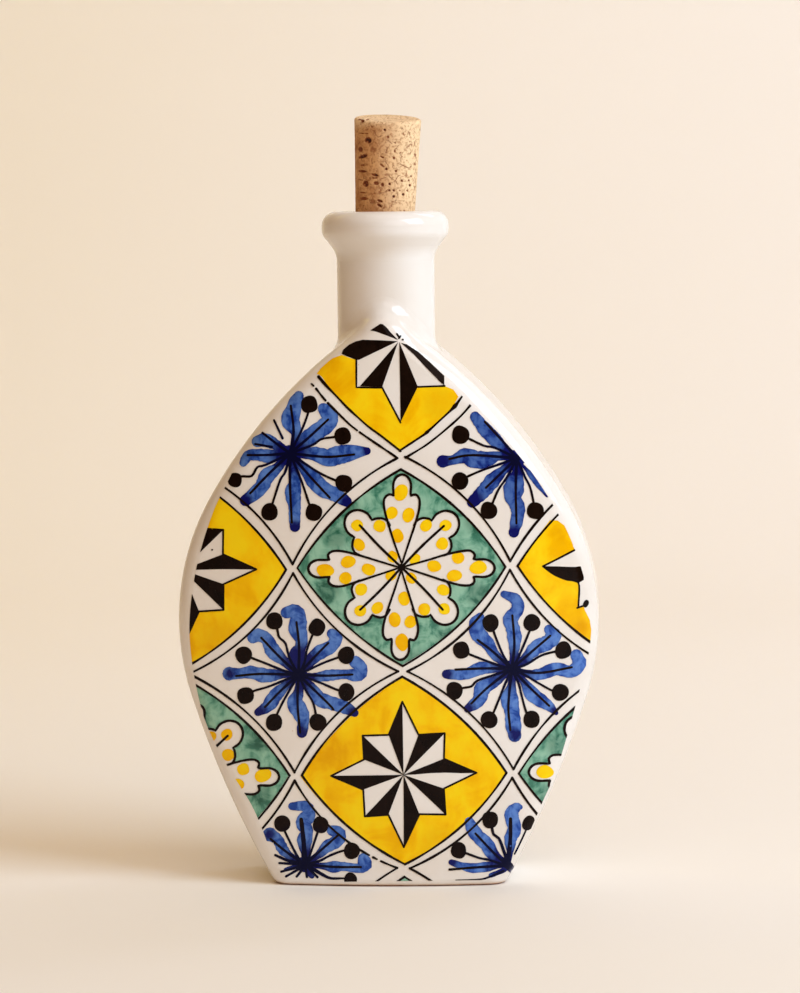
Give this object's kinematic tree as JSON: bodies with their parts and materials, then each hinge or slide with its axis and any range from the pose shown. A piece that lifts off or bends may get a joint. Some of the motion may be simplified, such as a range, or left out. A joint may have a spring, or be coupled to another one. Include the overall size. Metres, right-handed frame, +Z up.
{
  "type": "stoppered flask",
  "caption": "Flat glazed ceramic flask with a pointed-arch outline, crowned faces, a round neck with a rolled lip, and a tapered cork stopper that pulls out.",
  "frame": {"origin": "centre of the bounding box's bottom, on the plane that the foot ring stands on, under the neck's axis", "axes": "+Z up along the neck, +X across the wide faces, -Y out of the front face"},
  "size_m": [0.138, 0.05, 0.2519],
  "materials": {
    "glazed_body": "gloss white glaze over hand-painted tile lattice",
    "cork": "matte agglomerated cork with dark flecks"
  },
  "bodies": {
    "flask": {"bottle_body": "glazed_body"},
    "cork": {"cork_stopper": "cork"}
  },
  "joints": [
    {"name": "cork_pull", "type": "slide", "parent": "flask", "child": "cork", "axis": [0.0421, -0.017, 0.999], "range_m": [0, 0.06]}
  ]
}
